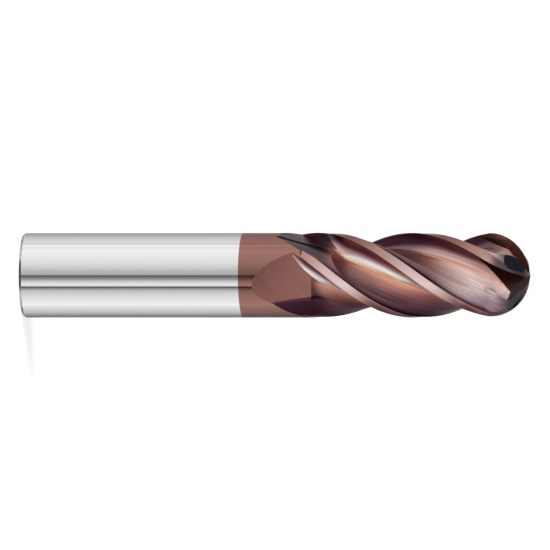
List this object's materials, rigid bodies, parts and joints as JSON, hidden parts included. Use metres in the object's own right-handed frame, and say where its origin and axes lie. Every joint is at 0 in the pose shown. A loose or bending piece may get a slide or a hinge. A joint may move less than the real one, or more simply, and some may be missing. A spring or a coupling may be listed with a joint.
{
  "type": "ball nose end mill",
  "caption": "Solid carbide ball nose end mill with a plain round shank, right-hand helical flutes with a bronze coating, and a hemispherical cutting end.",
  "frame": {"origin": "centre of the flat end face of the shank, on the tool axis", "axes": "+Z runs along the tool axis from the shank end to the tip of the ball; +X is the side that faces the viewer of the picture"},
  "size_m": [0.0126, 0.0126, 0.0762],
  "materials": {
    "carbide": "polished, bronze coating on the cutting half"
  },
  "bodies": {
    "root": {"end_mill": "carbide"}
  },
  "joints": []
}
